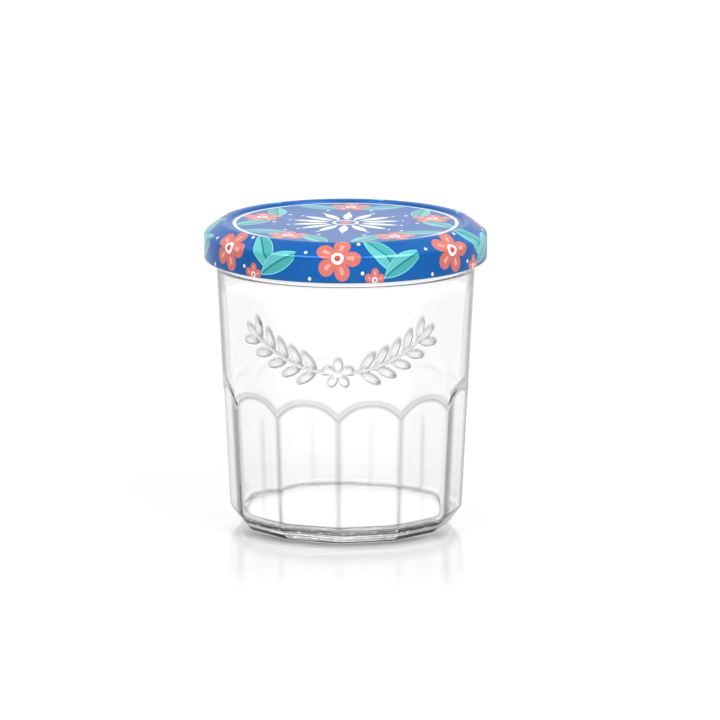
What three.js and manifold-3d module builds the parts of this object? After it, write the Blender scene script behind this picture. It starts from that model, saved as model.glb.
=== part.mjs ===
// A jam jar: clear pressed glass with a metal twist-off lid, closed and empty.
// Millimetres, +Z up. The origin is the middle of the base, on the surface the jar stands on.
// The front of the jar, with the raised garland, faces -Y.

import * as THREE from "three";
import { mergeVertices } from "three/addons/utils/BufferGeometryUtils.js";
import Module from "manifold-3d";

// Glass wall: round and slightly wider towards the top
const WALL_BASE_RADIUS = 34.9;
const WALL_TAPER = 0.0506;
const GLASS_SEGMENTS = 84;

// Flat panels round the lower half. Each is sunk into the wall and ends in an arch with a sloping edge.
const PANEL_COUNT = 12;
const RIDGE_INSET = 0.12;
const ARCH_FOOT_Z = 38.5;
const ARCH_HEIGHT = 4.0;
const ARCH_POWER = 2.4;
const ARCH_EDGE = 2.2;
const ARCH_STEPS = 12;

// Foot: a chamfer on every panel, a flat ring to stand on, and a hollow under the middle
const FOOT_HEIGHT = 4.9;
const FOOT_CORNER_RADIUS = 31.5;
const PUNT_RADIUS = 26.5;
const PUNT_HEIGHT = 1.2;

// Inside of the jar, which is round all the way down
const INNER_BASE_RADIUS = 32.0;
const INNER_TAPER = 0.0558;
const FLOOR_Z = 5.0;
const FLOOR_RISE = 0.6;
const FLOOR_FILLET = 4.5;

// Neck: a bead under the lid, then the ring that carries the thread, then a round lip
const BEAD_FOOT_Z = 78.9;
const BEAD_HEIGHT = 1.9;
const BEAD_RADIUS = 39.25;
const NECK_RADIUS = 38.2;
const MOUTH_RADIUS = 36.0;
const RIM_Z = 90.4;

// Thread: short sloping ribs that the lid's lugs catch under
const THREAD_COUNT = 6;
const THREAD_SPAN = THREE.MathUtils.degToRad(46);
const THREAD_LOW_Z = 84.4;
const THREAD_RISE = 2.8;
const THREAD_TUBE = 1.3;
const THREAD_RADIUS = 38.7;

// Lid: thin printed steel, with a sunk panel on top, a raised ring, a sloping shoulder and a curled edge
const LID_RADIUS = 42.5;
const LID_BOTTOM_Z = 81.0;
const LID_PANEL_Z = 91.6;
const LID_PANEL_RADIUS = 35.3;
const LID_CREST_WIDTH = 1.6;
const LID_CREST_HEIGHT = 0.8;
const LID_CORNER = 1.6;
const LID_CORNER_Z = 88.0;
const LID_SHOULDER_NORMAL = 60;
const LID_SHEET = 0.3;
const LID_CURL = 0.75;
const LID_SEGMENTS = 64;

// Sealing compound, a ring inside the lid that the lip presses into
const SEAL_GAP = 0.3;
const SEAL_INNER_RADIUS = 35.4;
const SEAL_OUTER_RADIUS = 39.2;

// Lugs: places where the lid's curl is pressed inwards
const LUG_COUNT = 6;
const LUG_SIZE = new THREE.Vector3(4.5, 1.3, 0.85);
const LUG_RADIUS = 40.8;
const LUG_Z = 81.95;

// Raised garland on the front of the glass: two leafy branches that rise from a blossom
const GARLAND_LOW_Z = 53;
const GARLAND_RISE = 12;
const GARLAND_REACH = THREE.MathUtils.degToRad(44);
const STEM_RADIUS = 0.6;
const STEM_STEPS = 24;
const LEAF_SIZE = new THREE.Vector3(3.9, 1.5, 0.75);
const LEAF_PAIRS = 5;
const LEAF_LEAN = THREE.MathUtils.degToRad(42);
const FIRST_LEAF = 0.22;
const PETAL_COUNT = 5;
const PETAL_SIZE = new THREE.Vector3(2.3, 1.6, 0.85);
const PETAL_RING = 2.7;
const HEART_SIZE = new THREE.Vector3(1.5, 1.5, 1.2);

const wasm = await Module();
wasm.setup();

// Turns a closed three.js geometry into a solid that can be joined and cut.
function toSolid(geometry) {
  const bare = geometry.clone();
  bare.deleteAttribute("normal");
  bare.deleteAttribute("uv");
  const merged = mergeVertices(bare, 1e-4);
  const corners = merged.index.array;
  const kept = [];
  for (let i = 0; i < corners.length; i += 3) {
    const [a, b, c] = corners.subarray(i, i + 3);
    if (a !== b && b !== c && c !== a) kept.push(a, b, c);
  }
  const vertProperties = new Float32Array(merged.attributes.position.array);
  const triVerts = new Uint32Array(kept);
  return new wasm.Manifold(new wasm.Mesh({ numProp: 3, vertProperties, triVerts }));
}

// Turns a solid back into a three.js mesh.
function toMesh(solid, name, material) {
  const { vertProperties, triVerts } = solid.getMesh();
  const geometry = new THREE.BufferGeometry();
  geometry.setAttribute("position", new THREE.BufferAttribute(vertProperties, 3));
  geometry.setIndex(new THREE.BufferAttribute(triVerts, 1));
  geometry.computeVertexNormals();
  const mesh = new THREE.Mesh(geometry, material);
  mesh.name = name;
  return mesh;
}

function at(radius, z) {
  return new THREE.Vector2(radius, z);
}

// Points on an ellipse in a section, from one angle to another in degrees. 0 points outwards, 90 up.
function arc(centre, width, height, from, to, steps) {
  const points = [];
  for (let i = 0; i <= steps; i++) {
    const angle = THREE.MathUtils.degToRad(from + ((to - from) * i) / steps);
    points.push(at(centre.x + width * Math.cos(angle), centre.y + height * Math.sin(angle)));
  }
  return points;
}

// Spins a section round the Z axis. The section runs anticlockwise, and its first side faces -Y.
function revolve(section, segments) {
  const geometry = new THREE.LatheGeometry(section, segments);
  geometry.rotateX(Math.PI / 2);
  return toSolid(geometry);
}

// A round bar along a curve.
function bar(curve, radius, steps) {
  const outline = new THREE.Shape();
  outline.absarc(0, 0, radius, 0, 2 * Math.PI);
  const options = { steps, extrudePath: curve, curveSegments: 4, bevelEnabled: false };
  return toSolid(new THREE.ExtrudeGeometry(outline, options));
}

// An ellipsoid with its long axis along X, set in place by a matrix.
function lump(size, place) {
  const geometry = new THREE.SphereGeometry(1, 8, 5);
  geometry.scale(size.x, size.y, size.z);
  geometry.applyMatrix4(place);
  return toSolid(geometry);
}

function wallRadius(z) {
  return WALL_BASE_RADIUS + WALL_TAPER * z;
}

// A point at an angle from the front, counted towards +X.
function round(radius, angle, z) {
  return new THREE.Vector3(radius * Math.sin(angle), -radius * Math.cos(angle), z);
}

// The place at an angle, height and radius, leaning out as the wall does: X runs round, Y up and Z out.
function leaning(radius, angle, z) {
  const aside = new THREE.Vector3(Math.cos(angle), Math.sin(angle), 0);
  const out = round(1, angle, -WALL_TAPER).normalize();
  const up = out.clone().cross(aside);
  return new THREE.Matrix4().makeBasis(aside, up, out).setPosition(round(radius, angle, z));
}

// A place on the round wall, turned on it by an angle and moved along the turned X axis
function onWall(angle, z, turn = 0, along = 0) {
  return leaning(wallRadius(z), angle, z)
    .multiply(new THREE.Matrix4().makeRotationZ(turn))
    .multiply(new THREE.Matrix4().makeTranslation(along, 0, 0));
}

// The glass as a round solid with its inside, before the panels are cut.
function roundGlass() {
  const below = -2;
  const innerRadius = (z) => INNER_BASE_RADIUS + INNER_TAPER * z;
  const filletTop = FLOOR_Z + FLOOR_FILLET;
  const lip = (NECK_RADIUS - MOUTH_RADIUS) / 2;
  const lipCentre = at(MOUTH_RADIUS + lip, RIM_Z - lip);
  const beadTop = BEAD_FOOT_Z + BEAD_HEIGHT;
  const beadMiddle = BEAD_FOOT_Z + BEAD_HEIGHT / 2;
  const beadWidth = BEAD_RADIUS - NECK_RADIUS;
  const filletCentre = at(innerRadius(filletTop) - FLOOR_FILLET, filletTop);
  return revolve(
    [
      at(0, PUNT_HEIGHT),
      at(PUNT_RADIUS * 0.55, PUNT_HEIGHT * 0.8),
      at(PUNT_RADIUS * 0.9, PUNT_HEIGHT * 0.3),
      at(PUNT_RADIUS, 0),
      at(PUNT_RADIUS, below),
      at(wallRadius(below), below),
      at(wallRadius(BEAD_FOOT_Z), BEAD_FOOT_Z),
      ...arc(at(NECK_RADIUS, beadMiddle), beadWidth, BEAD_HEIGHT / 2, -60, 60, 3),
      at(NECK_RADIUS, beadTop),
      ...arc(lipCentre, lip, lip, 0, 180, 4),
      at(MOUTH_RADIUS, beadTop),
      at(innerRadius(BEAD_FOOT_Z), BEAD_FOOT_Z),
      ...arc(filletCentre, FLOOR_FILLET, FLOOR_FILLET, 0, -90, 3),
      at(0, FLOOR_Z + FLOOR_RISE),
    ],
    GLASS_SEGMENTS,
  );
}

// What is cut away to sink one panel: a plate with an arched top whose edge slopes outwards
function panelCut(index) {
  const halfTurn = Math.PI / PANEL_COUNT;
  const ridge = wallRadius(ARCH_FOOT_Z) - RIDGE_INSET;
  const halfWidth = ridge * Math.sin(halfTurn);
  const depth = wallRadius(ARCH_FOOT_Z) - ridge * Math.cos(halfTurn);
  const side = 1.06;
  const outline = new THREE.Shape();
  outline.moveTo(-side * halfWidth, -ARCH_EDGE);
  outline.lineTo(side * halfWidth, -ARCH_EDGE);
  for (let i = 0; i <= ARCH_STEPS; i++) {
    const across = side * (1 - (2 * i) / ARCH_STEPS);
    const height = ARCH_FOOT_Z + ARCH_HEIGHT * (1 - Math.abs(across) ** ARCH_POWER);
    outline.lineTo(across * halfWidth, height);
  }
  const geometry = new THREE.ExtrudeGeometry(outline, {
    depth: ARCH_EDGE,
    bevelThickness: depth,
    bevelSize: ARCH_EDGE,
    bevelSegments: 1,
  });
  geometry.translate(0, 0, depth);
  const angle = (2 * index + 1) * halfTurn;
  const apothem = (wallRadius(0) - RIDGE_INSET) * Math.cos(halfTurn);
  geometry.applyMatrix4(leaning(apothem, angle, 0));
  return toSolid(geometry);
}

// The space that the foot leaves to the glass: flat below, with one sloping side under each panel
function footSpace() {
  const slope = FOOT_HEIGHT / (wallRadius(FOOT_HEIGHT) - RIDGE_INSET - FOOT_CORNER_RADIUS);
  const clear = 1.5 * LID_RADIUS;
  const top = 1.5 * RIM_Z;
  const section = [
    at(0, 0),
    at(FOOT_CORNER_RADIUS, 0),
    at(clear, slope * (clear - FOOT_CORNER_RADIUS)),
    at(clear, top),
    at(0, top),
  ];
  return revolve(section, PANEL_COUNT);
}

function threadRib(index) {
  const middle = (2 * Math.PI * index) / THREAD_COUNT;
  const points = [];
  for (let i = 0; i <= 8; i++) {
    const share = i / 8;
    const angle = middle + (share - 0.5) * THREAD_SPAN;
    points.push(round(THREAD_RADIUS, angle, THREAD_LOW_Z + share * THREAD_RISE));
  }
  return bar(new THREE.CatmullRomCurve3(points), THREAD_TUBE, 8);
}

function stemZ(share) {
  return GARLAND_LOW_Z + GARLAND_RISE * share * share;
}

// The way the stem runs on the wall, at a share of its reach to the right
function stemSlope(share) {
  const sideways = wallRadius(stemZ(share)) * GARLAND_REACH;
  return Math.atan2(2 * GARLAND_RISE * share, sideways);
}

// The raised pieces of the garland, each sunk to its middle in the wall
function garland() {
  const stem = [];
  for (let i = 0; i <= STEM_STEPS; i++) {
    const share = (2 * i) / STEM_STEPS - 1;
    stem.push(round(wallRadius(stemZ(share)), GARLAND_REACH * share, stemZ(share)));
  }
  const pieces = [bar(new THREE.CatmullRomCurve3(stem), STEM_RADIUS, STEM_STEPS)];
  for (const side of [-1, 1]) {
    const ahead = side > 0 ? 0 : Math.PI;
    const leaf = (share, lean) => {
      const turn = ahead + side * (stemSlope(share) + lean);
      const place = onWall(side * GARLAND_REACH * share, stemZ(share), turn, LEAF_SIZE.x);
      pieces.push(lump(LEAF_SIZE, place));
    };
    for (let pair = 0; pair < LEAF_PAIRS; pair++) {
      const share = FIRST_LEAF + ((1 - FIRST_LEAF) * pair) / LEAF_PAIRS;
      leaf(share, LEAF_LEAN);
      leaf(share, -LEAF_LEAN);
    }
    leaf(1 - STEM_RADIUS / LEAF_SIZE.x, 0);
  }
  for (let petal = 0; petal < PETAL_COUNT; petal++) {
    const turn = Math.PI / 2 + (2 * Math.PI * petal) / PETAL_COUNT;
    pieces.push(lump(PETAL_SIZE, onWall(0, GARLAND_LOW_Z, turn, PETAL_RING)));
  }
  pieces.push(lump(HEART_SIZE, onWall(0, GARLAND_LOW_Z)));
  return pieces;
}

function jar() {
  let glass = roundGlass().intersect(footSpace());
  for (let i = 0; i < PANEL_COUNT; i++) glass = glass.subtract(panelCut(i));
  for (let i = 0; i < THREAD_COUNT; i++) glass = glass.add(threadRib(i));
  for (const piece of garland()) glass = glass.add(piece);
  const clearGlass = new THREE.MeshStandardMaterial({
    color: 0xf2f6f5,
    roughness: 0.04,
    metalness: 0,
    transparent: true,
    opacity: 0.35,
  });
  return toMesh(glass, "jar", clearGlass);
}

function lid() {
  const crest = at(LID_PANEL_RADIUS + LID_CREST_WIDTH, LID_PANEL_Z);
  const corner = at(LID_RADIUS - LID_CORNER, LID_CORNER_Z);
  const curl = at(LID_RADIUS - LID_CURL, LID_BOTTOM_Z + LID_CURL);
  const innerCorner = LID_CORNER - LID_SHEET;
  const sealZ = RIM_Z + SEAL_GAP;
  const underPanel = LID_PANEL_Z - LID_SHEET;
  // The section runs from the middle of the underside outwards, round the curl and back over the top.
  let metal = revolve(
    [
      at(0, underPanel),
      at(SEAL_INNER_RADIUS - LID_SHEET, underPanel),
      at(SEAL_INNER_RADIUS, sealZ),
      at(SEAL_OUTER_RADIUS, sealZ),
      ...arc(corner, innerCorner, innerCorner, LID_SHOULDER_NORMAL, 0, 2),
      at(LID_RADIUS - LID_SHEET, LID_BOTTOM_Z + 2 * LID_CURL),
      ...arc(curl, LID_CURL, LID_CURL, 90, 360, 6),
      ...arc(corner, LID_CORNER, LID_CORNER, 0, LID_SHOULDER_NORMAL, 3),
      ...arc(crest, LID_CREST_WIDTH, LID_CREST_HEIGHT, LID_SHOULDER_NORMAL, 180, 4),
      at(0, LID_PANEL_Z),
    ],
    LID_SEGMENTS,
  );
  for (let i = 0; i < LUG_COUNT; i++) {
    const angle = (2 * Math.PI * i) / LUG_COUNT;
    const place = new THREE.Matrix4().makeRotationZ(angle).setPosition(round(LUG_RADIUS, angle, LUG_Z));
    metal = metal.add(lump(LUG_SIZE, place));
  }
  const printedSteel = new THREE.MeshStandardMaterial({
    color: 0x0d5aa8,
    roughness: 0.3,
    metalness: 0.1,
  });
  return toMesh(metal, "lid", printedSteel);
}

const jamJar = new THREE.Group();
jamJar.name = "jam_jar";
jamJar.add(jar(), lid());

export default jamJar;
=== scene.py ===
"""The looks of an empty jam jar: clear pressed glass under a printed twist-off lid, on a white floor.

Sizes in this script are in millimetres and become metres as each mesh is made. Angles are counted
from the front of the jar, which faces -Y, towards +X.
"""

import math

import bpy
import numpy as np
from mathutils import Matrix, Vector


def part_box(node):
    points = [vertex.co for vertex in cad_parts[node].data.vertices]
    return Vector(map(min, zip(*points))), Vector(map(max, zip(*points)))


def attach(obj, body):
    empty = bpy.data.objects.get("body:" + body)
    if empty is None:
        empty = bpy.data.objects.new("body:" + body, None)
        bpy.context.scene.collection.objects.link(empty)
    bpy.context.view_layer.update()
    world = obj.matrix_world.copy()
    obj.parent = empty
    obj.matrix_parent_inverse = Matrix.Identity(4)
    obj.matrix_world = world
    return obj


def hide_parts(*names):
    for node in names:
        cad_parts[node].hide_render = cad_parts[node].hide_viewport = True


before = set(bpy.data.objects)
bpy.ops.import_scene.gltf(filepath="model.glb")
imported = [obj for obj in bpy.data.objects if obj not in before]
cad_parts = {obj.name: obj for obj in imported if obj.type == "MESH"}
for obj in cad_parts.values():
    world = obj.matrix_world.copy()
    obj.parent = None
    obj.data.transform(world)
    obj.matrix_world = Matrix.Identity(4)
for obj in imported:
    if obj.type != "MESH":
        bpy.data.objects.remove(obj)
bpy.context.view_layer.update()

MM = 0.001
JAR_HIGH = np.array(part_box("jar")[1]) / MM
LID_LOW, LID_HIGH = (np.array(corner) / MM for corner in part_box("lid"))

# Glass wall, panels and arches
WALL_BASE_RADIUS = 34.9
WALL_TAPER = 0.0506
PANELS = 12
HALF_PANEL = math.pi / PANELS
PANEL_HALF_WIDTH = math.radians(13.45)
PANEL_DEPTH = 0.75
PANEL_JOIN_ROUNDING = 0.3
RIDGE_ROUNDING = 0.5
ARCH_FOOT_Z = 38.0
ARCH_HEIGHT = 4.8
ARCH_POWER = 2.4
ARCH_EDGE = 2.8
ARCH_ROUNDING = 0.35

# Foot and underside
FOOT_HEIGHT = 4.9
FOOT_CORNER_RADIUS = 31.5
FOOT_CORNER_ROUNDING = 0.5
FOOT_ROUNDING = 0.7
CHAMFER_ROUNDING = 0.5
FOOT_RIPPLE = 0.12
FOOT_RIPPLE_PITCH = 1.7
FOOT_RIPPLE_FADE = 0.8
PUNT_RADIUS = 26.5
PUNT_HEIGHT = 0.6
KNURLS = 60
KNURL_DEPTH = 0.05
KNURL_START = 0.6

# Inside
INNER_BASE_RADIUS = 32.7
INNER_TAPER = 0.0535
FLOOR_Z = 4.4
FLOOR_FILLET = 1.9
FILLET_TOP_Z = FLOOR_Z + FLOOR_FILLET
FLOOR_EDGE_DISTANCE = 30.2
FLOOR_CORNER_ROUNDING = 0.3

# Waves of the glass: height, count round the jar, turn for each millimetre up, start
FOOT_SWAYS = ((0.9, 4, 0, 0), (0.6, 7, 0, 1))
INNER_WAVES = ((0.03, 5, 0.09, 0), (0.02, 8, -0.13, 1))

# Neck, with an inside that narrows to the mouth from a little under the bead
BEAD_FOOT_Z = 78.5
BEAD_HEIGHT = 1.9
BEAD_RADIUS = 38.93
NECK_RADIUS = 38.2
MOUTH_RADIUS = 36.0
MOUTH_DROP = 1
LIP = (NECK_RADIUS - MOUTH_RADIUS) / 2
RIM_Z = JAR_HIGH[2]
THREADS = 6
THREAD_SPAN = math.radians(46)
THREAD_LOW_Z = 84.4
THREAD_RISE = 2.8
THREAD_TUBE = 1.3
THREAD_RADIUS = 38.7

# Raised garland on the front of the glass
GARLAND_LOW_Z = 53
GARLAND_RISE = 12
GARLAND_REACH = math.radians(44)
STEM_RADIUS = 0.6
LEAF_SIZE = (3.9, 1.5, 0.75)
LEAF_PAIRS = 5
LEAF_LEAN = math.radians(42)
FIRST_LEAF = 0.22
GROOVE_HALF_WIDTH = 0.3
GROOVE_DEPTH = 0.25
PETALS = 5
PETAL_SIZE = (2.3, 1.6, 0.85)
PETAL_RING = 2.7
HEART_SIZE = (1.5, 1.5, 1.2)
LUMP_FULLNESS = 0.8

# Painted shade lines on the glass: how strong they are, and how wide in millimetres
RIDGE_SHADE = 0.42
RIDGE_HALF_WIDTH = 1.1
RIDGE_LINE_SHADE = 0.25
RIDGE_LINE_HALF_WIDTH = 0.25
LOW_RIDGE_SHADE = 0.95
LOW_RIDGE_HALF_WIDTH = 0.6
LOW_RIDGE_Z = (10, 17)
FLOOR_EDGE_SHADE = 0.55
FLOOR_EDGE_RISE = 0.2
OUTLINE_LINE_SHADE = 0.9
OUTLINE_SHADE = 0.45
OUTLINE_SHADE_WAY = (0.8, 0.6)
OUTLINE_RELIEF = 0.32
OUTLINE_SPREAD = 0.24

# Painted shade along the arched edges, at distances above their lower line
ARCH_BAND = (-0.9, -0.6, -0.3, 0, 0.3, 0.6, 0.9, 1.25, 1.55, 1.85, 2.4)
ARCH_SHADE = (0, 0.2, 0.6, 0.8, 0.68, 0.4, 0.4, 0.52, 0.42, 0.2, 0)

# Painted shade of the foot at each height, and painted glints in it: count round, turn for each millimetre
# up, start
FOOT_BAND_Z = (0, 0.3, 0.6, 1.1, 1.8, 2.2, 2.6, 2.95, 3.7, 4.3, 4.9, 5.3)
FOOT_BAND_SHADE = (1.3, 1.2, 0.8, 0.7, 0.65, 0.25, 0.3, 1.5, 1.5, 1.0, 0.75, 0)
FOOT_BAND_SWAY = 0.12
PAINTED_GLINTS = ((31, 2, 0), (47, -3, 1), (13, 1, 0))
GLINT_GAIN = 2.5
GLINT_START = 0.8
GLINT_LIGHT = 0.8

# Painted shade that shows only aslant: beside the ridges, low in the foot and over the arches at the two
# sides
CORNER_REACH = 4.2
FOOT_SLANT_Z = (0, 0.3, 1.5, 2.0)
FOOT_SLANT_SHADE = (1.3, 1.4, 1.4, 0)
ARCH_SLANT_BAND = (0.6, 1.4, 3.2, 4)
ARCH_SLANT_SHADE = (0, 0.65, 0.65, 0)

# Painted shade lines on the far side that show through the jar
FAR_TOP_Z = 29
FAR_FADE = 6
FAR_LINE_TURN = math.radians(5.5)
FAR_LINE_HALF_WIDTH = 0.8

# How round the wall counts for the painted edge-on shade: fully on the round part,
# and least where a panel lies this deep under it
ROUND_DEPTH = 0.3
LEAST_ROUNDNESS = 0.27

# Painted shade of the glass over how far it is turned from the eye, from 0 face on to 1 edge-on
SIDE_ON = (0.62, 0.82)
SIDE_ON_DARK = 0.97
SILHOUETTE = (0.79, 0.87)
SILHOUETTE_DARK = 0.6
CORNER_TURNED = (0.4, 0.55)
CORNER_SHADE = 1.28
EDGE_TURNED = (0.48, 0.62)
EDGE_GAIN = 0.4
FOOT_TURNED = (0.35, 0.5)
FOOT_LEAST = 0.75
FOOT_GAIN = 0.45
PAINTED_SHADE_TINT = 0.53
FAR_TURNED = (0.03, 0.13)
FAR_SHADE = 0.2
FAR_GAIN = 0.3
ASLANT_SHADE_TURNED = (0.1, 0.45)
ASLANT_SHADE = 0.03
ASLANT_SHADE_GAIN = 0.06
GLASS_IOR = 1.5

# Columns of the glass mesh in degrees, its rows and its arcs: a start, then stops with their steps
GLASS_COLUMNS = (-50, (50, 200), (100, 50), (260, 128), (310, 50))
PUNT_SHARES = (0.1, (1, 9))
BASE_SHARES = (0.06, (0.9, 8))
WALL_ROWS = (0, (0.7, 4), (5.7, 20), (36, 8), (46, 32), (71, 52), (BEAD_FOOT_Z - 0.3, 5))
BEAD_ARC = (-25, 85, 10)
NECK_ROWS = (BEAD_FOOT_Z + BEAD_HEIGHT + 0.4, (RIM_Z - LIP - 0.3, 12))
LIP_ARC = (0, 180, 8)
INNER_ROWS = (
    BEAD_FOOT_Z + BEAD_HEIGHT,
    (BEAD_FOOT_Z - MOUTH_DROP, 2),
    (49, 4),
    (37.5, 24),
    (FILLET_TOP_Z + 0.4, 5),
)
FILLET_ARC = (0, -85, 8)
FLOOR_SHARES = (0.95, (0.1, 9))

# Lid
LID_RADIUS = (LID_HIGH[0] - LID_LOW[0]) / 2
LID_BOTTOM_Z = LID_LOW[2]
LID_CREST_WIDTH = 1.6
LID_CREST_HEIGHT = 0.8
LID_PANEL_Z = LID_HIGH[2] - LID_CREST_HEIGHT
LID_PANEL_RADIUS = 35.3
LID_CORNER = 1.6
LID_CORNER_Z = 88.0
LID_SHOULDER_NORMAL = 60
LID_SHEET = 0.3
LID_CURL = 0.75
SEAL_GAP = 0.3
SEAL_INNER_RADIUS = 35.4
SEAL_OUTER_RADIUS = 39.2
LUGS = 6
LUG_HALF_ANGLE = math.radians(6)
LUG_REACH = 1.5
SKIRT_INSIDE_TOP_Z = 87
SKIRT_OUTSIDE_Z = (82.2, 87.6)
LID_HUB_RADIUS = 2
LID_PANEL_EDGE = 0.6
LID_COLUMNS = 240
PRINTED, LACQUERED, SEALED = range(3)

# Colours of the print, in linear light
BLUE = (0, 0.1, 0.37)
TEAL = (0.12, 0.5, 0.5)
TEAL_LIGHT = (0.2, 0.62, 0.64)
TEAL_SHADE = (0.06, 0.38, 0.38)
TEAL_DARK = (0.015, 0.2, 0.24)
CORAL = (0.64, 0.165, 0.135)
CORAL_LIGHT = (0.82, 0.36, 0.31)
CORAL_DARK = (0.6, 0.08, 0.06)
WHITE = (0.86, 0.88, 0.9)

# Motifs of the print: leaves in millimetres, and blossoms as shares of their radius
PRINT_LEAF_RIM = 0.3
PRINT_RIB_HALF_WIDTH = 0.28
PRINT_RIB_ROOM = 0.6
PRINT_PETALS = 5
PRINT_PETAL_POWER = 0.5
PRINT_PETAL_SHARE = 0.62
STREAK_MIDDLE = 0.97
STREAK_REACH = (0.4, 0.72)
EYE_SHARE = 0.27
PUPIL_SHARE = 0.13

# Floor: how strongly it glows, and in metres where its parts begin and end, with a painted shadow before the
# foot and a painted bright patch under the jar
FLOOR_HALF_SIDE = 2.5
FLOOR_DROP = 0.0002
FLOOR_GLOW = 0.585
FLOOR_FRONT_Y = (-0.055, -0.14)
FLOOR_FRONT_GLOW = 0.3
FLOOR_SIDE_X = (0.25, 0.5)
FLOOR_SIDE_DIM = 0.4
SHADE_REACH = (0.041, 0.031)
SHADE_Y = (-0.005, -0.025)
SHADE_DIM = 0.7
PATCH_Y = 0.0025
PATCH_REACH = (0.031, 0.0285)
PATCH_GLOW = 0.95
FLOOR_ROUGHNESS = 0.15
FLOOR_FRONT_ROUGHNESS = 0.4

# Light: softboxes as name, azimuth in degrees and power in watts, and the strength of the studio
SOFTBOXES = (("left_softbox", -38, 8), ("right_softbox", 45, 12))
SOFTBOX_ELEVATION = 48
SOFTBOX_DISTANCE = 1.3
SOFTBOX_SIDE = 0.6
SOFTBOX_AIM_Z = 0.05
STUDIO_FRONT = 0.6
STUDIO_BACK = 1.0
STUDIO_TURN = (-0.15, 0.35)
LIGHT_BOUNCES = 64
GLASS_BOUNCES = 32

# Camera
CAMERA_AZIMUTH = math.radians(3.3)
CAMERA_ELEVATION = math.radians(11.6)
CAMERA_DISTANCE = 1700
CAMERA_AIM = (4.3, 49.5)
PIXELS_PER_MM = 3.316
PHOTO_SIDE = 720
SENSOR_WIDTH = 36
CAMERA_REACH = 100


def smooth_min(a, b, width):
    """The smaller of two values, rounded where they meet over a width."""
    share = np.clip(0.5 + 0.5 * (b - a) / width, 0, 1)
    return b * (1 - share) + a * share - width * share * (1 - share)


def smooth_max(a, b, width):
    return -smooth_min(-a, -b, width)


def arc(centre, width, height, start, end, steps):
    """Points of an ellipse in a section, between two angles in degrees. 0 points outwards, 90 up."""
    angles = np.radians(np.linspace(start, end, steps + 1))
    return [(centre[0] + width * math.cos(a), centre[1] + height * math.sin(a)) for a in angles]


def spread(*stops):
    """Values from stop to stop. Each stop after the first is (value, steps to reach it)."""
    values = [stops[0]]
    for value, steps in stops[1:]:
        values.extend(np.linspace(values[-1], value, steps + 1)[1:])
    return np.array(values)


def waves(angle, z, terms):
    """A sum of waves. Each has a height, a count round the jar, a turn for each millimetre up and a start."""
    return sum(height * np.sin(count * angle + rise * z + start) for height, count, rise, start in terms)


def wrapped(angle):
    """The same angle between half a turn left and half a turn right."""
    return np.mod(angle + math.pi, 2 * math.pi) - math.pi


def new_piece(name, mesh, node, materials):
    """Puts a mesh in the scene in place of a CAD node."""
    piece = bpy.data.objects.new(name, mesh)
    bpy.context.scene.collection.objects.link(piece)
    for material in materials:
        mesh.materials.append(material)
    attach(piece, "root")
    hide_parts(node)


def turned_mesh(name, radii, heights, angles):
    """A closed mesh of rings, each with a radius and a height at every angle, and a point at each end.

    The rings run from the axis below, out and up, and back to the axis.
    """
    rings, columns = radii.shape
    x = radii * np.sin(angles)
    y = -radii * np.cos(angles)
    points = np.stack([x, y, heights], axis=-1).reshape(-1, 3)
    first, last = len(points), len(points) + 1
    ends = [(0, 0, heights[0].mean()), (0, 0, heights[-1].mean())]
    points = np.concatenate([points, ends]) * MM
    column = np.arange(columns)
    following = (column + 1) % columns
    faces = []
    for ring in range(rings - 1):
        low, high = ring * columns, (ring + 1) * columns
        quads = np.stack([low + column, low + following, high + following, high + column], axis=1)
        faces.extend(quads.tolist())
    top = (rings - 1) * columns
    faces.extend([first, b, a] for a, b in zip(column.tolist(), following.tolist()))
    faces.extend([last, top + a, top + b] for a, b in zip(column.tolist(), following.tolist()))
    mesh = bpy.data.meshes.new(name)
    mesh.from_pydata(points.tolist(), [], faces)
    mesh.shade_smooth()
    return mesh


# Glass


def wall_radius(z):
    return WALL_BASE_RADIUS + WALL_TAPER * z


def from_panel_middle(angle):
    """The angle from the middle of the nearest panel."""
    return np.mod(angle, 2 * HALF_PANEL) - HALF_PANEL


def many_sided(apothem, angle, rounding):
    """The radius of a many-sided ring with rounded corners."""
    aside = np.abs(from_panel_middle(angle))
    return smooth_min(apothem / np.cos(aside), apothem / np.cos(2 * HALF_PANEL - aside), rounding)


def panel_radius(angle, z):
    """The radius of the panels, a little crowned, before the round wall cuts their ridges."""
    aside = np.abs(from_panel_middle(angle))
    near, far = (1 - (a / PANEL_HALF_WIDTH) ** 2 for a in (aside, 2 * HALF_PANEL - aside))
    return wall_radius(z) + smooth_min(-PANEL_DEPTH * near, -PANEL_DEPTH * far, PANEL_JOIN_ROUNDING)


def over_arch(angle, z):
    """How far a point of the wall is above the arched edge of its panel."""
    across = np.abs(from_panel_middle(angle)) / HALF_PANEL
    arch_z = ARCH_FOOT_Z + ARCH_HEIGHT * (1 - across**ARCH_POWER)
    fall = ARCH_HEIGHT * ARCH_POWER * across ** (ARCH_POWER - 1)
    fall = fall / (wall_radius(ARCH_FOOT_Z) * HALF_PANEL)
    return (z - arch_z) / np.sqrt(1 + fall**2)


def arched_wall(angle, z):
    """The radius of the wall: panels below, round above, with an arched edge between."""
    above = over_arch(angle, z)
    rise = smooth_max(above, 0 * above, ARCH_ROUNDING) * PANEL_DEPTH / ARCH_EDGE
    edge = panel_radius(angle, z) + rise
    return smooth_min(wall_radius(z) + 0 * angle, edge, RIDGE_ROUNDING)


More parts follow.
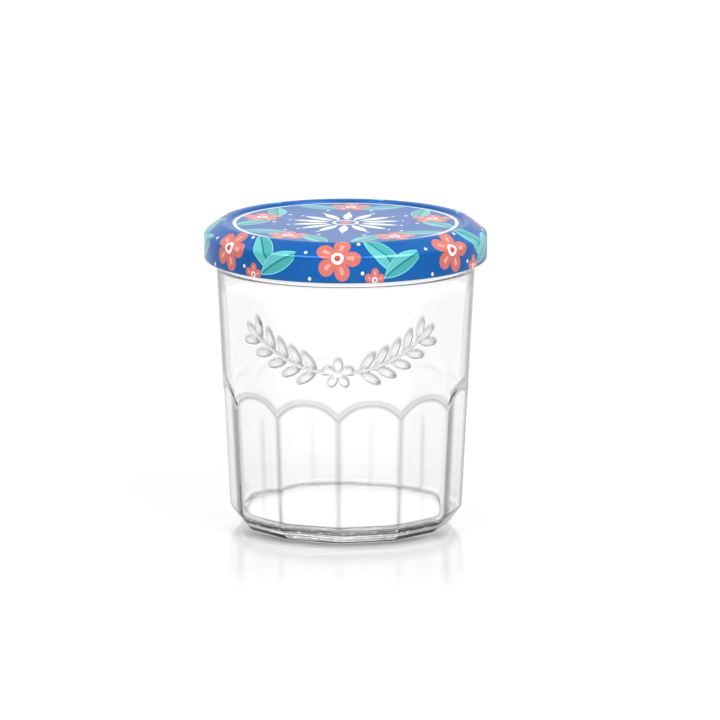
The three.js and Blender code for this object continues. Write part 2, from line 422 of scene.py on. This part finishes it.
def outer_wall(angle, z):
    """The wall with its chamfered foot, which is a little rippled."""
    foot = many_sided(FOOT_CORNER_RADIUS * math.cos(HALF_PANEL), angle, FOOT_CORNER_ROUNDING)
    chamfer = foot + (arched_wall(angle, FOOT_HEIGHT) - foot) * z / FOOT_HEIGHT
    sunk = np.clip(FOOT_ROUNDING - z, 0, FOOT_ROUNDING)
    heel = FOOT_ROUNDING - np.sqrt(FOOT_ROUNDING**2 - sunk**2)
    ripple = FOOT_RIPPLE * np.sin(2 * math.pi * z / FOOT_RIPPLE_PITCH + foot_sway(angle))
    ripple = ripple * np.clip(z / FOOT_RIPPLE_FADE, 0, 1)
    ripple = ripple * np.clip((FOOT_HEIGHT - z) / FOOT_RIPPLE_FADE, 0, 1)
    return smooth_min(arched_wall(angle, z), chamfer, CHAMFER_ROUNDING) - heel - np.abs(ripple)


def from_ridge(angle, z):
    """The distance round the wall to the nearest ridge between panels."""
    return (HALF_PANEL - np.abs(from_panel_middle(angle))) * wall_radius(z)


def in_panel(angle, z):
    """1 in a panel and 0 above its arch."""
    return np.clip(0.5 - over_arch(angle, z), 0, 1)


def painted_wall_shade(angle, z):
    """The painted shade lines along the ridges and the arched edges.

    Every ridge but the front one has darker painted shade low down.
    """
    aside = from_ridge(angle, z)
    ridge = RIDGE_SHADE * np.exp(-((aside / RIDGE_HALF_WIDTH) ** 4))
    ridge = ridge + RIDGE_LINE_SHADE * np.exp(-((aside / RIDGE_LINE_HALF_WIDTH) ** 2))
    arch = np.interp(over_arch(angle, z), ARCH_BAND, ARCH_SHADE)
    low = np.interp(z, LOW_RIDGE_Z, (1, 0)) * np.clip(np.abs(angle) / HALF_PANEL - 0.5, 0, 1)
    low = LOW_RIDGE_SHADE * low * np.exp(-((aside / LOW_RIDGE_HALF_WIDTH) ** 2))
    return np.maximum(np.maximum(ridge * in_panel(angle, z), low), arch)


def foot_sway(angle):
    """How the ripples of the foot wander up and down."""
    return waves(angle, 0, FOOT_SWAYS)


def painted_foot_shade(angle, z):
    """The painted shade bands in the foot, broken by painted glints."""
    grey = np.interp(z + FOOT_BAND_SWAY * foot_sway(angle), FOOT_BAND_Z, FOOT_BAND_SHADE)
    glint = math.prod(np.sin(count * angle + rise * z + start) for count, rise, start in PAINTED_GLINTS)
    return grey * (1 - GLINT_LIGHT * np.clip(GLINT_GAIN * glint - GLINT_START, 0, 1))


def punt(radius):
    """How high the hollow under the base rises. The floor rises as much, so the glass stays even."""
    return PUNT_HEIGHT * np.clip(1 - (radius / PUNT_RADIUS) ** 2, 0, 1) ** 2


def stem_z(share):
    return GARLAND_LOW_Z + GARLAND_RISE * share**2


def stem_slope(share):
    return math.atan2(2 * GARLAND_RISE * share, wall_radius(stem_z(share)) * GARLAND_REACH)


def lump(angle, z, size, place, turn, along):
    """The height over the wall of an oval lump, turned at its place and moved along its length."""
    length, width, height = size
    middle_angle, middle_z = place
    round_wall = wall_radius(middle_z) * (angle - middle_angle)
    up_wall = z - middle_z
    u = round_wall * math.cos(turn) + up_wall * math.sin(turn) - along
    v = up_wall * math.cos(turn) - round_wall * math.sin(turn)
    inside = np.clip(1 - (u / length) ** 2 - (v / width) ** 2, 0, 1)
    return height * inside**LUMP_FULLNESS, v


def leaf(angle, z, share, side, lean):
    """A leaf of the garland, with a groove along its middle."""
    turn = (0 if side > 0 else math.pi) + side * (stem_slope(share) + lean)
    place = (side * GARLAND_REACH * share, stem_z(share))
    height, across = lump(angle, z, LEAF_SIZE, place, turn, LEAF_SIZE[0])
    groove = np.exp(-((across / GROOVE_HALF_WIDTH) ** 2))
    return height * (1 - GROOVE_DEPTH * groove)


def garland(angle, z):
    """The height of the raised garland over the wall."""
    share = np.clip(angle / GARLAND_REACH, -1, 1)
    slope = np.arctan(2 * GARLAND_RISE * share / (wall_radius(stem_z(share)) * GARLAND_REACH))
    beside = (z - stem_z(share)) * np.cos(slope)
    past = np.maximum(np.abs(angle) - GARLAND_REACH, 0) * wall_radius(z)
    height = np.sqrt(np.clip(STEM_RADIUS**2 - beside**2 - past**2, 0, None))
    for side in (-1, 1):
        for pair in range(LEAF_PAIRS):
            share = FIRST_LEAF + (1 - FIRST_LEAF) * pair / LEAF_PAIRS
            for lean in (LEAF_LEAN, -LEAF_LEAN):
                height = np.maximum(height, leaf(angle, z, share, side, lean))
        height = np.maximum(height, leaf(angle, z, 1 - STEM_RADIUS / LEAF_SIZE[0], side, 0))
    middle = (0, GARLAND_LOW_Z)
    for petal in range(PETALS):
        turn = math.pi / 2 + 2 * math.pi * petal / PETALS
        raised, _ = lump(angle, z, PETAL_SIZE, middle, turn, PETAL_RING)
        height = np.maximum(height, raised)
    heart, _ = lump(angle, z, HEART_SIZE, middle, 0, 0)
    return np.maximum(height, heart)


def outline(relief, along, z):
    """The painted shade outlining a relief on the glass, stronger on its lower right sides."""
    rise = np.gradient(relief, z, axis=0)
    slope = np.gradient(relief, axis=1) / np.gradient(along, axis=1)
    steep = np.hypot(rise, slope) + 1e-6
    side = (rise * OUTLINE_SHADE_WAY[1] - slope * OUTLINE_SHADE_WAY[0]) / steep
    line = np.exp(-(((relief - OUTLINE_RELIEF) / OUTLINE_SPREAD) ** 2))
    return (OUTLINE_LINE_SHADE + OUTLINE_SHADE * side) * line * (relief > 0)


def thread(angle, z):
    """How far the thread ribs stand out from the neck."""
    turn = 2 * math.pi / THREADS
    aside = np.mod(angle + turn / 2, turn) - turn / 2
    share = np.clip(aside / THREAD_SPAN + 0.5, 0, 1)
    past = np.maximum(np.abs(aside) - THREAD_SPAN / 2, 0) * NECK_RADIUS
    rise = z - THREAD_LOW_Z - THREAD_RISE * share
    tube = np.sqrt(np.clip(THREAD_TUBE**2 - rise**2 - past**2, 0, None))
    return np.maximum(THREAD_RADIUS + tube - NECK_RADIUS, 0) * (tube > 0)


def inner_radius(z):
    return INNER_BASE_RADIUS + INNER_TAPER * z


def inner_wall(angle, z):
    """The inside runs along the outer wall, and waves as pressed glass does."""
    return inner_radius(z) + arched_wall(angle, z) - wall_radius(z) + waves(angle, z, INNER_WAVES)


def glass_angles():
    """Columns of the glass mesh, closer together on the front, with one on every ridge."""
    return wrapped(np.radians(spread(*GLASS_COLUMNS)[:-1]))


def wall_looks(angle, rows, wall, relief):
    """What the wall's material needs at each point of its rows.

    These are how strong the painted shade is along its edges, in its foot and aslant, how round
    it is and how strong its painted shade lines are where it shows through the jar from the far side.
    """
    heights = rows[:, None] + 0 * angle
    edge = np.maximum(painted_wall_shade(angle, heights), outline(relief, wall * angle, rows))
    edge = np.where(heights < FOOT_HEIGHT, 0, edge)
    foot = painted_foot_shade(angle, heights)
    corner = np.exp(-((from_ridge(angle, heights) / CORNER_REACH) ** 4)) * in_panel(angle, heights)
    foot_corner = np.interp(heights, FOOT_SLANT_Z, FOOT_SLANT_SHADE)
    corner = np.where(heights < FOOT_HEIGHT, foot_corner, corner)
    arch = np.interp(over_arch(angle, heights), ARCH_SLANT_BAND, ARCH_SLANT_SHADE)
    at_side = np.abs(np.abs(angle) - math.pi / 2) < 2 * HALF_PANEL
    corner = np.maximum(corner, arch * at_side)
    roundness = (wall - wall_radius(heights) + ROUND_DEPTH) / ROUND_DEPTH
    roundness = np.clip(roundness, LEAST_ROUNDNESS, 1)
    far_aside = from_panel_middle(angle - FAR_LINE_TURN) * wall
    far = np.exp(-((far_aside / FAR_LINE_HALF_WIDTH) ** 2))
    far = far * np.clip((FAR_TOP_Z - heights) / FAR_FADE, 0, 1)
    return edge, foot, corner, roundness, far


def glass_rings(angle):
    """The rings of the glass, from under the middle round to the floor inside.

    Each ring has a radius, a height and the looks of its wall: its painted shade and how round it is.
    """
    rings = []

    def ring(radius, z, edge=0, foot=0, corner=0, roundness=0, far=0):
        rings.append([value + 0 * angle for value in (radius, z, edge, foot, corner, roundness, far)])

    for share in spread(*PUNT_SHARES):
        ring(PUNT_RADIUS * share, punt(PUNT_RADIUS * share))
    foot = outer_wall(angle, 0 * angle)
    for share in spread(*BASE_SHARES):
        along = np.clip((share - KNURL_START) / (1 - KNURL_START), 0, 1)
        knurl = KNURL_DEPTH * np.clip(np.sin(KNURLS * angle), 0, 1) * math.sin(math.pi * along)
        ring(PUNT_RADIUS + (foot - PUNT_RADIUS) * share, knurl)
    rows = spread(*WALL_ROWS)
    heights = rows[:, None] + 0 * angle
    wall = outer_wall(angle, heights)
    relief = garland(angle, heights)
    looks = wall_looks(angle, rows, wall, relief)
    for place, z in enumerate(rows):
        ring(wall[place] + relief[place], z, *(look[place] for look in looks))
    bead_middle = (NECK_RADIUS, BEAD_FOOT_Z + BEAD_HEIGHT / 2)
    for radius, z in arc(bead_middle, BEAD_RADIUS - NECK_RADIUS, BEAD_HEIGHT / 2, *BEAD_ARC):
        ring(radius, z)
    for z in spread(*NECK_ROWS):
        ring(NECK_RADIUS + thread(angle, z), z)
    for radius, z in arc((MOUTH_RADIUS + LIP, RIM_Z - LIP), LIP, LIP, *LIP_ARC):
        ring(radius, z)
    for z in spread(*INNER_ROWS):
        mouth = np.clip((z - BEAD_FOOT_Z + MOUTH_DROP) / (BEAD_HEIGHT + MOUTH_DROP), 0, 1)
        ring(inner_wall(angle, z) * (1 - mouth) + MOUTH_RADIUS * mouth, z)
    reach = many_sided(FLOOR_EDGE_DISTANCE, angle, FLOOR_CORNER_ROUNDING)
    room = inner_wall(angle, FILLET_TOP_Z) - reach
    # A painted shade line runs round the foot of the fillet, where the floor inside begins
    for share, z in arc((0, FILLET_TOP_Z), 1, FLOOR_FILLET, *FILLET_ARC):
        ring(reach + room * share, z, FLOOR_EDGE_SHADE * (z < FLOOR_Z + FLOOR_EDGE_RISE))
    for share in spread(*FLOOR_SHARES):
        ring(reach * share, FLOOR_Z + punt(reach * share))
    return np.array(rings).swapaxes(0, 1)


def store(mesh, name, rings):
    """Keeps a number for each point of a turned mesh, for its material."""
    values = np.concatenate([rings.ravel(), rings[0, :1], rings[-1, :1]]).astype(np.float32)
    mesh.attributes.new(name, "FLOAT", "POINT").data.foreach_set("value", values)


def make_jar():
    angle = glass_angles()
    radii, heights, *looks = glass_rings(angle)
    mesh = turned_mesh("glass_jar", radii, heights, angle)
    # The painted shade of the glass and how round its wall is, kept on the mesh for its material
    for name, rings in zip(("edge", "foot", "corner", "roundness", "far"), looks):
        store(mesh, name, rings)
    new_piece("glass_jar", mesh, "jar", [glass_material()])


# Lid


def lid_section():
    """The lid's section as (radius, z, material).

    It runs from under the middle, out and round the curl, to the middle on top.
    """
    crest = (LID_PANEL_RADIUS + LID_CREST_WIDTH, LID_PANEL_Z)
    corner = (LID_RADIUS - LID_CORNER, LID_CORNER_Z)
    curl = (LID_RADIUS - LID_CURL, LID_BOTTOM_Z + LID_CURL)
    inner_corner = LID_CORNER - LID_SHEET
    under = LID_PANEL_Z - LID_SHEET
    seal_z = RIM_Z + SEAL_GAP
    seal_edge = SEAL_INNER_RADIUS - LID_SHEET
    inside = [(r, under) for r in spread(LID_HUB_RADIUS, (seal_edge, 10))]
    seal = [(r, seal_z) for r in spread(SEAL_INNER_RADIUS, (SEAL_OUTER_RADIUS, 4))]
    skirt_inside = arc(corner, inner_corner, inner_corner, LID_SHOULDER_NORMAL, 0, 6)
    skirt_rows = spread(SKIRT_INSIDE_TOP_Z, (LID_BOTTOM_Z + 2 * LID_CURL, 4))
    skirt_inside += [(LID_RADIUS - LID_SHEET, z) for z in skirt_rows]
    outside = arc(curl, LID_CURL, LID_CURL, 90, 360, 18)
    outside += [(LID_RADIUS, z) for z in spread(SKIRT_OUTSIDE_Z[0], (SKIRT_OUTSIDE_Z[1], 8))]
    outside += arc(corner, LID_CORNER, LID_CORNER, 0, LID_SHOULDER_NORMAL, 9)
    crest_arc = arc(crest, LID_CREST_WIDTH, LID_CREST_HEIGHT, LID_SHOULDER_NORMAL, 180, 14)
    low, high = np.array(outside[-1]), np.array(crest_arc[0])
    outside += [tuple(low * (1 - share) + high * share) for share in (0.25, 0.5, 0.75)]
    outside += crest_arc
    panel_rows = spread(LID_PANEL_RADIUS - LID_PANEL_EDGE, (LID_HUB_RADIUS, 14))
    outside += [(r, LID_PANEL_Z) for r in panel_rows]
    section = [(*point, LACQUERED) for point in inside]
    section += [(*point, SEALED) for point in seal]
    section += [(*point, LACQUERED) for point in skirt_inside]
    section += [(*point, PRINTED) for point in outside]
    return np.array(section)


def make_lid():
    section = lid_section()
    angle = wrapped(spread(0, (2 * math.pi, LID_COLUMNS))[:-1])
    radii = np.repeat(section[:, :1], len(angle), axis=1)
    heights = np.repeat(section[:, 1:2], len(angle), axis=1)
    turn = 2 * math.pi / LUGS
    aside = np.abs(np.mod(angle + turn / 2, turn) - turn / 2)
    pressed = np.clip(1 - (aside / LUG_HALF_ANGLE) ** 4, 0, 1)
    curl_middle = LID_RADIUS - LID_CURL
    in_curl = heights < LID_BOTTOM_Z + 2 * LID_CURL
    inward = np.clip((curl_middle - radii) / LID_CURL, 0, 1) * in_curl
    radii = radii - LUG_REACH * inward * pressed
    mesh = turned_mesh("printed_lid", radii, heights, angle)
    materials = [print_material(), lacquer_material(), seal_material()]
    new_piece("printed_lid", mesh, "lid", materials)
    paint_faces(mesh, section, len(angle))
    lay_sheet(mesh, section, angle)


def paint_faces(mesh, section, columns):
    """Gives each ring of faces the material of its section, and the ends that of their rings."""
    kinds = section[:-1, 2].astype(int)
    slots = np.concatenate([np.repeat(kinds, columns), np.repeat([LACQUERED, PRINTED], columns)])
    mesh.polygons.foreach_set("material_index", slots.astype(np.int32))


def lay_sheet(mesh, section, angle):
    """Stores where each point lay on the flat printed sheet, in millimetres from its middle."""
    steps = np.hypot(*np.diff(section[::-1, :2], axis=0).T)
    reach = np.concatenate([[section[-1, 0]], section[-1, 0] + np.cumsum(steps)])[::-1]
    flat = reach[:, None]
    points = np.stack([flat * np.sin(angle), -flat * np.cos(angle), 0 * flat * angle], axis=-1)
    points = np.concatenate([points.reshape(-1, 3), np.zeros((2, 3))])
    sheet = mesh.attributes.new("sheet", "FLOAT_VECTOR", "POINT")
    sheet.data.foreach_set("vector", points.astype(np.float32).ravel())


# Materials


class Field:
    """A number that varies over a surface. Arithmetic on fields adds Math nodes."""

    def __init__(self, tree, socket):
        self.tree = tree
        self.socket = socket

    def math(self, operation, *others):
        node = self.tree.nodes.new("ShaderNodeMath")
        node.operation = operation
        for place, value in enumerate((self, *others)):
            if isinstance(value, Field):
                self.tree.links.new(value.socket, node.inputs[place])
            else:
                node.inputs[place].default_value = value
        return Field(self.tree, node.outputs[0])

    def __add__(self, other):
        return self.math("ADD", other)

    def __sub__(self, other):
        return self.math("SUBTRACT", other)

    def __mul__(self, other):
        return self.math("MULTIPLY", other)

    def __truediv__(self, other):
        return self.math("DIVIDE", other)

    def __abs__(self):
        return self.math("ABSOLUTE")

    def smooth(self, low, high):
        """Goes softly from 0 at low to 1 at high."""
        node = self.tree.nodes.new("ShaderNodeMapRange")
        node.interpolation_type = "SMOOTHSTEP"
        node.inputs["From Min"].default_value = low
        node.inputs["From Max"].default_value = high
        self.tree.links.new(self.socket, node.inputs["Value"])
        return Field(self.tree, node.outputs["Result"])

    def above(self, limit):
        return self.math("GREATER_THAN", limit)

    def below(self, limit):
        return self.math("LESS_THAN", limit)


def new_material(name):
    material = bpy.data.materials.new(name)
    material.use_nodes = True
    tree = material.node_tree
    return material, tree, tree.nodes["Principled BSDF"]


def noise(tree, scale, detail):
    """Noise over the object, as a field from 0 to 1."""
    place = tree.nodes.new("ShaderNodeTexCoord")
    texture = tree.nodes.new("ShaderNodeTexNoise")
    texture.inputs["Scale"].default_value = scale
    texture.inputs["Detail"].default_value = detail
    tree.links.new(place.outputs["Object"], texture.inputs["Vector"])
    return Field(tree, texture.outputs["Fac"])


def stored(tree, name):
    """A number that is kept on the mesh, as a field."""
    node = tree.nodes.new("ShaderNodeAttribute")
    node.attribute_name = name
    return Field(tree, node.outputs["Fac"])


def vary_roughness(tree, shader, scale, least, variation):
    """Roughness that varies over the surface from its least value."""
    roughness = noise(tree, scale, 3) * variation + least
    tree.links.new(roughness.socket, shader.inputs["Roughness"])


def bump(tree, shader, height, strength, distance):
    node = tree.nodes.new("ShaderNodeBump")
    node.inputs["Strength"].default_value = strength
    node.inputs["Distance"].default_value = distance
    tree.links.new(height.socket, node.inputs["Height"])
    tree.links.new(node.outputs["Normal"], shader.inputs["Normal"])


def glass_material():
    """Clear glass with painted shade in its colour where it is seen edge-on and along its ridges, arches,
    foot and relief.

    Light takes on the square root of the base colour as it enters, so the painted shade is squared.
    """
    material, tree, shader = new_material("clear_glass")
    facing = tree.nodes.new("ShaderNodeLayerWeight")
    facing.inputs["Blend"].default_value = 0.5
    side = tree.nodes.new("ShaderNodeNewGeometry")
    inside = Field(tree, side.outputs["Backfacing"])
    outside = inside * -1 + 1
    turned = Field(tree, facing.outputs["Facing"])
    # Painted shade where the glass is seen edge-on, most on the round wall
    side_on = turned.smooth(*SIDE_ON) * stored(tree, "roundness")
    side_on = side_on.math("MAXIMUM", turned.smooth(*SILHOUETTE) * SILHOUETTE_DARK)
    # Painted shade aslant, along the ridges, arches and relief, and in the foot, where painted glints lighten
    # it
    corner = stored(tree, "corner") * turned.smooth(*CORNER_TURNED) * CORNER_SHADE
    edge = stored(tree, "edge") * (turned.smooth(*EDGE_TURNED) * EDGE_GAIN + 1)
    foot = stored(tree, "foot") * (turned.smooth(*FOOT_TURNED) * FOOT_GAIN + FOOT_LEAST)
    grey = edge.math("MAXIMUM", corner).math("MAXIMUM", foot)
    sharp = grey * outside * -PAINTED_SHADE_TINT + 1
    # Painted shade lines seen through the jar on the far side, and a little painted shade on the outside,
    # more aslant
    through = stored(tree, "far") * inside * (turned.smooth(*FAR_TURNED) * -FAR_GAIN - FAR_SHADE) + 1
    aslant = (turned.smooth(*ASLANT_SHADE_TURNED) * -ASLANT_SHADE_GAIN - ASLANT_SHADE) * outside + 1
    clear = (side_on * -SIDE_ON_DARK + 1) * sharp * sharp * through * aslant
    tree.links.new(clear.socket, shader.inputs["Base Color"])
    shader.inputs["Roughness"].default_value = 0
    shader.inputs["IOR"].default_value = GLASS_IOR
    shader.inputs["Transmission Weight"].default_value = 1
    return material


class Print:
    """The print on the lid's sheet. Each motif is laid over what is there already."""

    def __init__(self, tree):
        self.tree = tree
        place = tree.nodes.new("ShaderNodeAttribute")
        place.attribute_name = "sheet"
        apart = tree.nodes.new("ShaderNodeSeparateXYZ")
        tree.links.new(place.outputs["Vector"], apart.inputs[0])
        self.x = Field(tree, apart.outputs["X"])
        self.y = Field(tree, apart.outputs["Y"])
        self.reach = (self.x * self.x + self.y * self.y).math("SQRT")
        self.angle = self.x.math("ARCTAN2", self.y * -1)
        self.colour = None

    def lay(self, shape, colour):
        mix = self.tree.nodes.new("ShaderNodeMix")
        mix.data_type = "RGBA"
        self.tree.links.new(shape.socket, mix.inputs[0])
        under, over, result = (mix.inputs[6], mix.inputs[7], mix.outputs[2])
        if self.colour is None:
            under.default_value = (*BLUE, 1)
        else:
            self.tree.links.new(self.colour, under)
        over.default_value = (*colour, 1)
        self.colour = result

    def around(self, count, offset=0.0):
        """Coordinates that repeat round the lid: outwards from its middle, and sideways."""
        turn = 2 * math.pi / count
        index = (self.angle / turn + offset).math("ROUND")
        local = self.angle - (index - offset) * turn
        return self.reach * local.math("COSINE"), self.reach * local.math("SINE")

    def placed(self, spot, outwards, sideways, degrees):
        turn = math.radians(degrees)
        u = spot[0] - outwards
        v = spot[1] - sideways
        return u * math.cos(turn) + v * math.sin(turn), v * math.cos(turn) - u * math.sin(turn)

    def leaf(self, spot, outwards, sideways, degrees, length, width):
        u, v = self.placed(spot, outwards, sideways, degrees)
        along = u / length
        room = (along * along * -1 + 1) * width - abs(v)
        self.lay(room.above(0), TEAL_LIGHT)
        self.lay(room.above(PRINT_LEAF_RIM), TEAL)
        shade = room.above(PRINT_LEAF_RIM) * v.above(0)
        self.lay(shade, TEAL_SHADE)
        rib = abs(v).below(PRINT_RIB_HALF_WIDTH) * room.above(PRINT_RIB_ROOM)
        self.lay(rib, TEAL_DARK)

    def blossom(self, spot, outwards, sideways, degrees, radius):
        u, v = self.placed(spot, outwards, sideways, degrees)
        out = (u * u + v * v).math("SQRT")
        petal = abs((v.math("ARCTAN2", u) * (PRINT_PETALS / 2)).math("COSINE"))
        petal = petal.math("POWER", PRINT_PETAL_POWER)
        room = (petal * PRINT_PETAL_SHARE + (1 - PRINT_PETAL_SHARE)) * radius - out
        self.lay(room.above(0), CORAL)
        start, end = (radius * share for share in STREAK_REACH)
        streak = petal.above(STREAK_MIDDLE) * out.above(start) * out.below(end)
        self.lay(streak, CORAL_LIGHT)
        self.lay(out.below(radius * EYE_SHARE), WHITE)
        self.lay(out.below(radius * PUPIL_SHARE), CORAL_DARK)

    def dot(self, spot, outwards, sideways, radius, colour):
        u, v = self.placed(spot, outwards, sideways, 0)
        self.lay((u * u + v * v).below(radius**2), colour)

    def plain_leaf(self, spot, outwards, sideways, degrees, length, width):
        u, v = self.placed(spot, outwards, sideways, degrees)
        along = u / length
        self.lay(((along * along * -1 + 1) * width - abs(v)).above(0), WHITE)

    def ring(self, radius, width):
        self.lay(abs(self.reach - radius).below(width / 2), WHITE)


def lid_print(tree):
    """Blossoms and leaf pairs round the shoulder and skirt, more of them on top, and a white rosette."""
    design = Print(tree)
    edge = design.around(7, -0.16)
    design.leaf(edge, 42.0, 8.0, 48, 8.6, 3.2)
    design.leaf(edge, 43.6, 14.6, -42, 8.0, 3.0)
    design.blossom(edge, 43.6, -6.2, 12, 7.2)
    design.blossom(edge, 50.4, 6.0, 40, 3.6)
    for outwards, sideways in ((39.4, -15.4), (47.6, -16.6), (48.6, 1.6), (38.6, 0.6)):
        design.dot(edge, outwards, sideways, 0.55, WHITE)
    panel = design.around(5, 0.5)
    design.leaf(panel, 26.0, 9.6, 66, 8.0, 2.9)
    design.leaf(panel, 26.0, -9.6, -66, 8.0, 2.9)
    design.blossom(panel, 27.0, 0.0, 0, 6.2)
    for sideways in (-6.5, 6.5):
        design.dot(panel, 20.5, sideways, 0.6, WHITE)
    rosette = design.around(14)
    design.plain_leaf(rosette, 10.6, 0.0, 0, 5.8, 1.35)
    design.dot(rosette, 17.4, 0.0, 0.5, WHITE)
    design.ring(3.6, 0.9)
    design.dot(rosette, 0.0, 0.0, 1.9, CORAL)
    design.ring(33.4, 1.0)
    return design.colour


def print_material():
    """Glossy lacquer over the print."""
    material, tree, shader = new_material("printed_steel")
    tree.links.new(lid_print(tree), shader.inputs["Base Color"])
    vary_roughness(tree, shader, scale=60, least=0.24, variation=0.12)
    shader.inputs["Metallic"].default_value = 0.35
    shader.inputs["Specular IOR Level"].default_value = 0.2
    shader.inputs["Coat Weight"].default_value = 0.12
    shader.inputs["Coat Roughness"].default_value = 0.15
    bump(tree, shader, noise(tree, 700, 2), strength=0.03, distance=0.0002)
    return material


def lacquer_material():
    """White lacquer on the inside of the lid."""
    material, tree, shader = new_material("white_lacquer")
    shader.inputs["Base Color"].default_value = (0.82, 0.81, 0.78, 1)
    vary_roughness(tree, shader, scale=80, least=0.3, variation=0.15)
    return material


def seal_material():
    """The soft sealing ring inside the lid."""
    material, tree, shader = new_material("sealing_compound")
    shader.inputs["Base Color"].default_value = (0.7, 0.7, 0.68, 1)
    vary_roughness(tree, shader, scale=150, least=0.45, variation=0.2)
    bump(tree, shader, noise(tree, 500, 2), strength=0.1, distance=0.0002)
    return material


# Studio


def make_floor():
    half = FLOOR_HALF_SIDE
    mesh = bpy.data.meshes.new("floor")
    corners = [(-half, -half, 0), (half, -half, 0), (half, half, 0), (-half, half, 0)]
    mesh.from_pydata(corners, [], [(0, 1, 2, 3)])
    floor = bpy.data.objects.new("floor", mesh)
    bpy.context.scene.collection.objects.link(floor)
    floor.location.z = -FLOOR_DROP
    material, tree, shader = new_material("white_floor")
    shader.inputs["Base Color"].default_value = (0.12, 0.12, 0.12, 1)
    shader.inputs["Specular IOR Level"].default_value = 0.8
    shader.inputs["Emission Color"].default_value = (1, 1, 1, 1)
    glow, roughness = floor_glow(tree)
    tree.links.new(glow.socket, shader.inputs["Emission Strength"])
    tree.links.new(roughness.socket, shader.inputs["Roughness"])
    mesh.materials.append(material)


def floor_glow(tree):
    """A glowing floor, brighter to the front and dimmer far to the sides, with a painted shadow before the
    foot and a painted bright patch under the jar.

    It is glossy round the jar and duller further to the front.
    """
    place = tree.nodes.new("ShaderNodeTexCoord")
    apart = tree.nodes.new("ShaderNodeSeparateXYZ")
    tree.links.new(place.outputs["Object"], apart.inputs[0])
    x = Field(tree, apart.outputs["X"])
    y = Field(tree, apart.outputs["Y"])
    reach = (x * x + y * y).math("SQRT")
    front = y.smooth(*FLOOR_FRONT_Y)
    aside = abs(x).smooth(*FLOOR_SIDE_X) * -FLOOR_SIDE_DIM + front * FLOOR_FRONT_GLOW + FLOOR_GLOW
    # Painted shadow before the foot, and a painted bright patch under the jar
    shade = reach.smooth(*SHADE_REACH) * y.smooth(*SHADE_Y)
    behind = y - PATCH_Y
    under = (x * x + behind * behind).math("SQRT").smooth(*PATCH_REACH) * PATCH_GLOW
    glow = (aside * (shade * -SHADE_DIM + 1)).math("MAXIMUM", under)
    return glow, front * FLOOR_FRONT_ROUGHNESS + FLOOR_ROUGHNESS


def make_softbox(name, azimuth, power):
    light = bpy.data.lights.new(name, "AREA")
    light.shape = "SQUARE"
    light.size = SOFTBOX_SIDE
    light.energy = power
    lamp = bpy.data.objects.new(name, light)
    bpy.context.scene.collection.objects.link(lamp)
    way = direction(math.radians(azimuth), math.radians(SOFTBOX_ELEVATION))
    lamp.location = way * SOFTBOX_DISTANCE + Vector((0, 0, SOFTBOX_AIM_Z))
    lamp.rotation_euler = way.to_track_quat("Z", "Y").to_euler()


def direction(azimuth, elevation):
    """The way from the jar to something at an angle from the front and a height."""
    flat = math.cos(elevation)
    return Vector((math.sin(azimuth) * flat, -math.cos(azimuth) * flat, math.sin(elevation)))


def make_world():
    """A studio that is dim in front of the jar and bright behind it."""
    world = bpy.data.worlds.new("studio")
    world.use_nodes = True
    tree = world.node_tree
    place = tree.nodes.new("ShaderNodeTexCoord")
    apart = tree.nodes.new("ShaderNodeSeparateXYZ")
    tree.links.new(place.outputs["Generated"], apart.inputs[0])
    back = Field(tree, apart.outputs["Y"]).smooth(*STUDIO_TURN)
    strength = back * (STUDIO_BACK - STUDIO_FRONT) + STUDIO_FRONT
    tree.links.new(strength.socket, tree.nodes["Background"].inputs["Strength"])
    tree.nodes["Background"].inputs["Color"].default_value = (1, 1, 1, 1)
    bpy.context.scene.world = world


def make_camera():
    camera = bpy.data.cameras.new("camera")
    camera.sensor_width = SENSOR_WIDTH
    camera.lens = PIXELS_PER_MM * CAMERA_DISTANCE * SENSOR_WIDTH / PHOTO_SIDE
    camera.clip_end = CAMERA_REACH
    eye = bpy.data.objects.new("camera", camera)
    bpy.context.scene.collection.objects.link(eye)
    way = direction(CAMERA_AZIMUTH, CAMERA_ELEVATION)
    right = Vector((math.cos(CAMERA_AZIMUTH), math.sin(CAMERA_AZIMUTH), 0))
    aim = right * CAMERA_AIM[0] + Vector((0, 0, CAMERA_AIM[1]))
    eye.location = (aim + way * CAMERA_DISTANCE) * MM
    eye.rotation_euler = way.to_track_quat("Z", "Y").to_euler()
    bpy.context.scene.camera = eye


make_camera()
make_jar()
make_lid()
make_floor()
make_world()
for softbox in SOFTBOXES:
    make_softbox(*softbox)

scene = bpy.context.scene
scene.view_settings.view_transform = "Standard"
scene.cycles.max_bounces = LIGHT_BOUNCES
scene.cycles.transmission_bounces = GLASS_BOUNCES
scene.cycles.glossy_bounces = GLASS_BOUNCES
